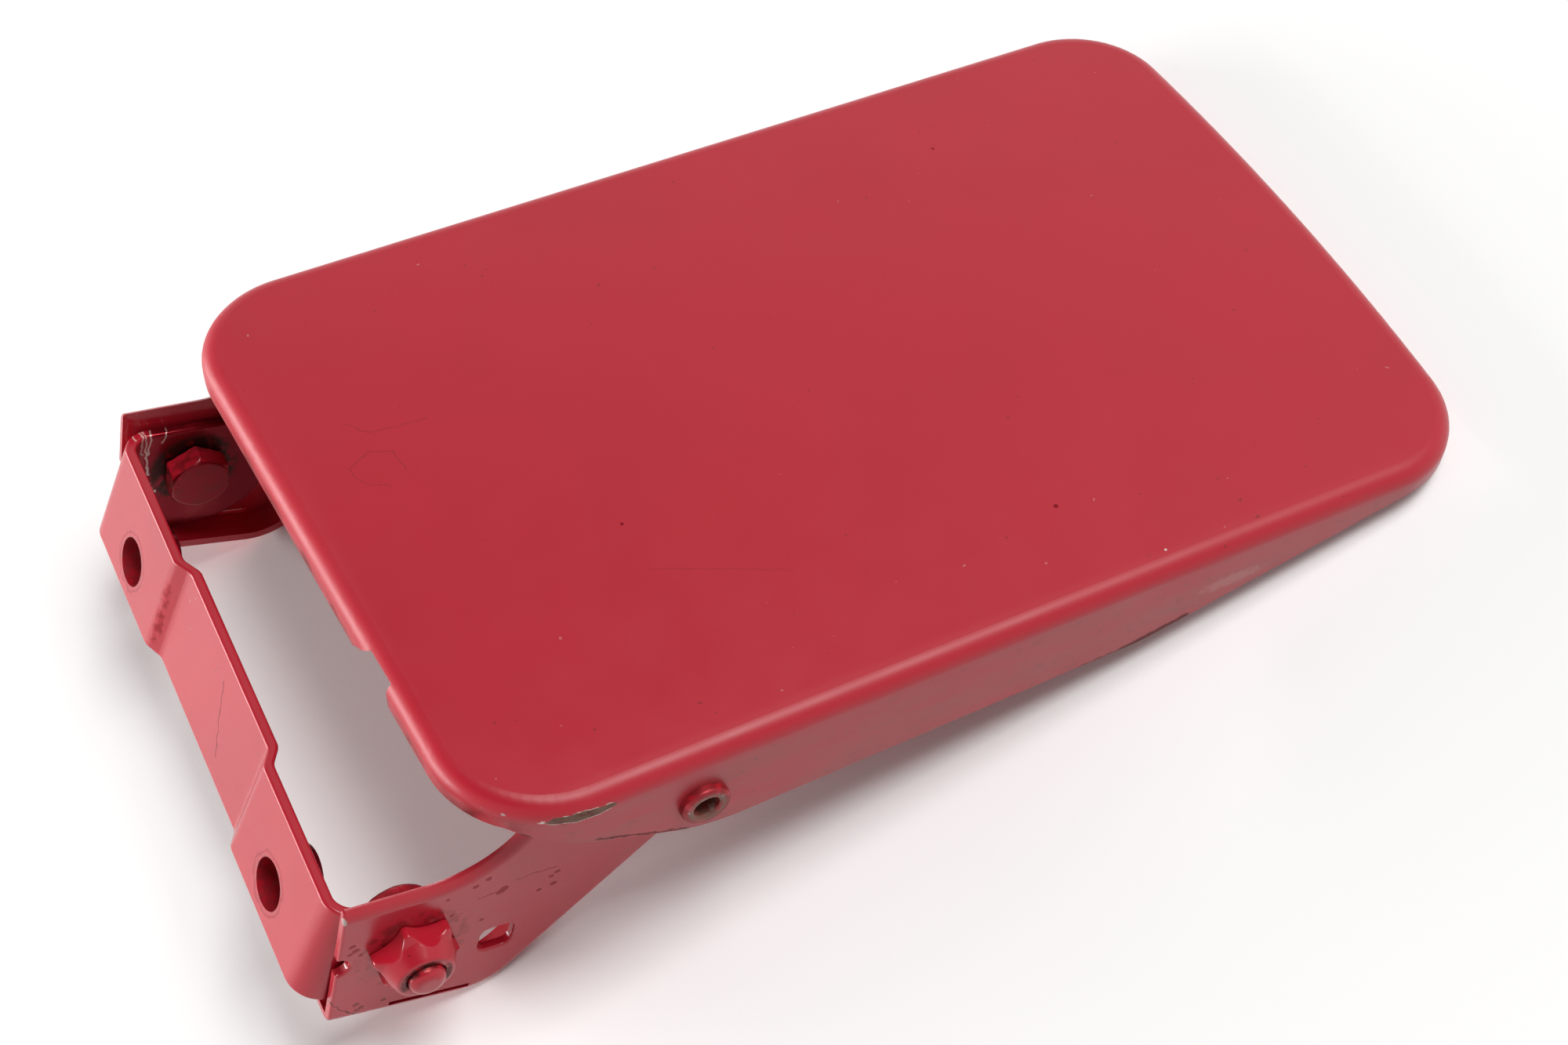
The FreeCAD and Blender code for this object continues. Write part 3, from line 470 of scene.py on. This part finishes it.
def fastener_paint():
    coat = Coat("fastener_paint", DOOR_ORIGIN, DOOR_SLOPE, roughness=0.17, mottling=0.4)
    point = coat.point
    across = part_of(point, "Y")
    out = across.math("ABSOLUTE", across)
    # Grime between bolt and nut.
    around = from_axis(point, DOOR_PIVOT)
    seat = ramp(around, 4.4, 3.8) * ramp(around, 2.6, 3.0) * ramp(out, 57.8, 58.6) * ramp(out, 59.9, 59.3)
    coat.lay(seat * ramp(noise(point, 0.5), 0.34, 0.52) * 0.85, GRIME_AND_SHADE, dull=0.3, tinted=True)
    # Dull hexagon heads, darkest on their end faces.
    head = ramp(out, 50.0, 49.4)
    face = ramp(out, 45.7, 45.35)
    smear = ramp(noise(point, 0.5), 0.45, 0.66)
    coat.lay(face * 0.7, EAR_SHADE_RED, dull=0.14, tinted=True)
    coat.lay(head * smear * 0.35, SOILED_RED, dull=0.15, tinted=True)
    return coat.finish()


def rivet_paint():
    coat = Coat("worn_rivet", DOOR_ORIGIN, DOOR_SLOPE, roughness=0.34, mottling=0.6)
    point = coat.point
    around = from_axis(point, RIVET_AXIS)
    worn = ramp(noise(point, 0.5), 0.36, 0.56)
    coat.lay(ramp(around, 3.5, 2.9) * (worn * 0.6 + 0.3), PRIMER_BROWN, dull=0.2)
    coat.lay(ramp(around, 2.8, 3.4) * worn * 0.5, SOILED_RED, dull=0.2, tinted=True)
    glint = ramp(noise(point, 0.9), 0.60, 0.68)
    coat.lay(glint * ramp(around, 3.6, 3.2) * 0.6, WORN_EDGE)
    return coat.finish()


def dress(piece, material):
    piece.data.materials.clear()
    piece.data.materials.append(material)


def thickly_painted(node, passes):
    """A fastener under thick paint: the CAD node's shape with its edges softened."""
    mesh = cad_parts[node].data.copy()
    piece = bpy.data.objects.new(node + "_painted", mesh)
    bpy.context.collection.objects.link(piece)
    bpy.ops.object.select_all(action="DESELECT")
    piece.select_set(True)
    bpy.context.view_layer.objects.active = piece
    bpy.ops.object.mode_set(mode="EDIT")
    bpy.ops.mesh.select_all(action="SELECT")
    bpy.ops.mesh.remove_doubles(threshold=WELD)
    bpy.ops.object.mode_set(mode="OBJECT")
    remesh = piece.modifiers.new("skin", "REMESH")
    remesh.mode = "VOXEL"
    remesh.voxel_size = PAINT_CELL
    smooth = piece.modifiers.new("flow", "SMOOTH")
    smooth.factor = PAINT_FLOW
    smooth.iterations = passes
    for name in ("skin", "flow"):
        bpy.ops.object.modifier_apply(modifier=name)
    bpy.ops.object.shade_smooth()
    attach(piece, "door")
    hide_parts(node)
    return piece


def lay_table():
    """A white table under the part that runs out into the white of the studio."""
    bpy.ops.object.select_all(action="DESELECT")
    bpy.ops.mesh.primitive_plane_add(size=TABLE_SIZE, location=(TABLE_CENTRE, 0, cad_box[0][2]))
    table = bpy.context.object
    table.name = "table"
    material, shader, place = start("table_white")
    tree = material.node_tree
    smudge = ramp(noise(place, SMUDGE_SCALE), 0.3, 0.7)
    colour = mix(smudge * SMUDGE_SHARE, TABLE_WHITE, TABLE_SMUDGE)
    tree.links.new(colour.output, shader.inputs["Base Color"])
    shader.inputs["Roughness"].default_value = TABLE_ROUGHNESS
    rays = tree.nodes.new("ShaderNodeLightPath")
    white = tree.nodes.new("ShaderNodeEmission")
    seen = Socket(tree, rays.outputs["Is Camera Ray"]) | Socket(tree, rays.outputs["Is Glossy Ray"])
    seen = seen | Socket(tree, rays.outputs["Is Transmission Ray"])
    away = ramp(length(place), FADE_START, FADE_END)
    faded = seen.node("ShaderNodeMixShader", {
        0: seen * away, 1: Socket(tree, shader.outputs[0]), 2: Socket(tree, white.outputs[0])})
    tree.links.new(faded.output, tree.nodes["Material Output"].inputs["Surface"])
    table.data.materials.append(material)


def light_studio():
    """The white studio round the table."""
    world = bpy.data.worlds.new("studio")
    bpy.context.scene.world = world
    world.use_nodes = True
    tree = world.node_tree
    background = tree.nodes["Background"]
    rays = tree.nodes.new("ShaderNodeLightPath")
    looking = tree.nodes.new("ShaderNodeTexCoord")
    seen = Socket(tree, rays.outputs["Is Camera Ray"]) | Socket(tree, rays.outputs["Is Transmission Ray"])
    mirrored = Socket(tree, rays.outputs["Is Glossy Ray"])
    ceiling = ramp(part_of(Socket(tree, looking.outputs["Generated"]), "Z"), CEILING_START, CEILING_FULL)
    in_gloss = 1 - ceiling * (1 - CEILING)
    unseen = mirrored * (in_gloss - AMBIENT) + AMBIENT
    strength = seen * (1 - unseen) + unseen
    tree.links.new(strength.output, background.inputs["Strength"])
    background.inputs["Color"].default_value = STUDIO_WHITE


def softbox(name, place, aim, size, energy):
    lamp = bpy.data.lights.new(name, "AREA")
    lamp.shape = "RECTANGLE"
    lamp.size, lamp.size_y = size
    lamp.energy = energy
    box = bpy.data.objects.new(name, lamp)
    bpy.context.collection.objects.link(box)
    box.location = place
    box.rotation_euler = (Vector(aim) - Vector(place)).to_track_quat("-Z", "Y").to_euler()


def set_camera():
    camera = bpy.data.objects.new("camera", bpy.data.cameras.new("camera"))
    bpy.context.collection.objects.link(camera)
    camera.data.lens = CAMERA_LENS
    camera.data.sensor_width = CAMERA_SENSOR
    camera.data.clip_start = CAMERA_CLIP
    camera.location = CAMERA_PLACE
    aim = (CAMERA_AIM - CAMERA_PLACE).to_track_quat("-Z", "Y")
    camera.rotation_mode = "QUATERNION"
    camera.rotation_quaternion = aim @ Quaternion((0, 0, 1), CAMERA_ROLL)
    bpy.context.scene.camera = camera


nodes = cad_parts
dress(nodes["outer_panel"], panel_paint())
dress(nodes["hinge_bracket"], bracket_paint())
arms = arm_paint()
fasteners = fastener_paint()
rivets = rivet_paint()
for end in ("near", "far"):
    dress(nodes["hinge_arm_" + end], arms)
    dress(nodes["hollow_rivet_" + end], rivets)
    dress(thickly_painted("pivot_nut_" + end, NUT_PASSES), fasteners)
    dress(thickly_painted("pivot_bolt_" + end, BOLT_PASSES), fasteners)

lay_table()
light_studio()
for lamp_settings in LAMPS:
    softbox(*lamp_settings)
set_camera()
bpy.context.scene.view_settings.view_transform = "Standard"
